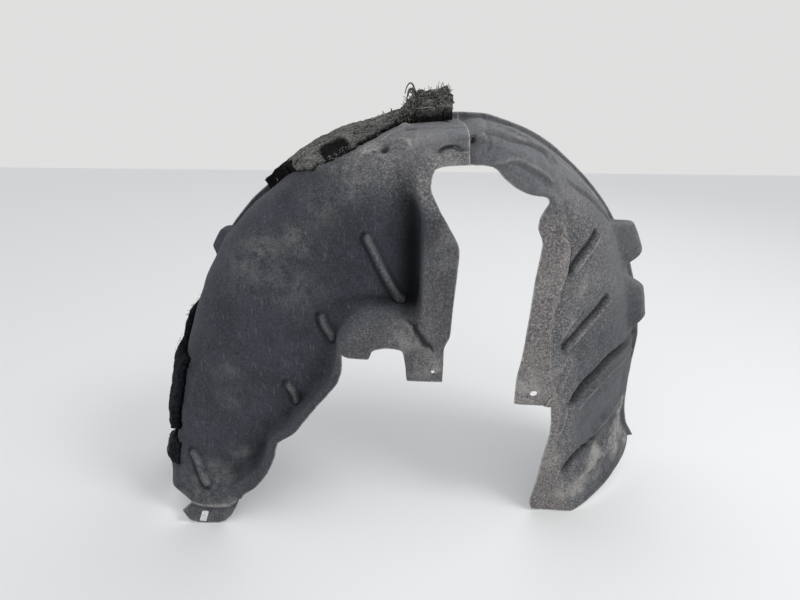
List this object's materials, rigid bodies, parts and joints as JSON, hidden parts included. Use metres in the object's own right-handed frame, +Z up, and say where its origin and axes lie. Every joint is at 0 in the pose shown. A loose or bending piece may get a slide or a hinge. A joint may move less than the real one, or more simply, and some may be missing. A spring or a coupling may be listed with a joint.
{
  "type": "wheel arch liner",
  "caption": "Felt wheel arch liner: a deep shell over the wheel with a side panel, a tongue and a strut opening, glued pads, and legs that reach down in front of and behind the wheel.",
  "frame": {"origin": "centre of the outline on the floor, under the arch", "axes": "+X to the right as seen from the car body side, +Y to the outboard rim, +Z up"},
  "size_m": [0.836, 0.2143, 0.6439],
  "materials": {
    "felt_dark": "needle felt, matt",
    "felt_grey": "speckled needle felt, matt",
    "pad_felt": "loose frayed felt",
    "pad_black": "pressed black felt",
    "foam_black": "open foam",
    "label_paper": "matt"
  },
  "bodies": {
    "root": {"left_shell": "felt_dark", "right_shell": "felt_grey", "top_pad": "pad_felt", "side_pad_upper": "pad_black", "side_pad_lower": "pad_black", "foam_wad": "foam_black", "label": "label_paper"}
  },
  "joints": []
}
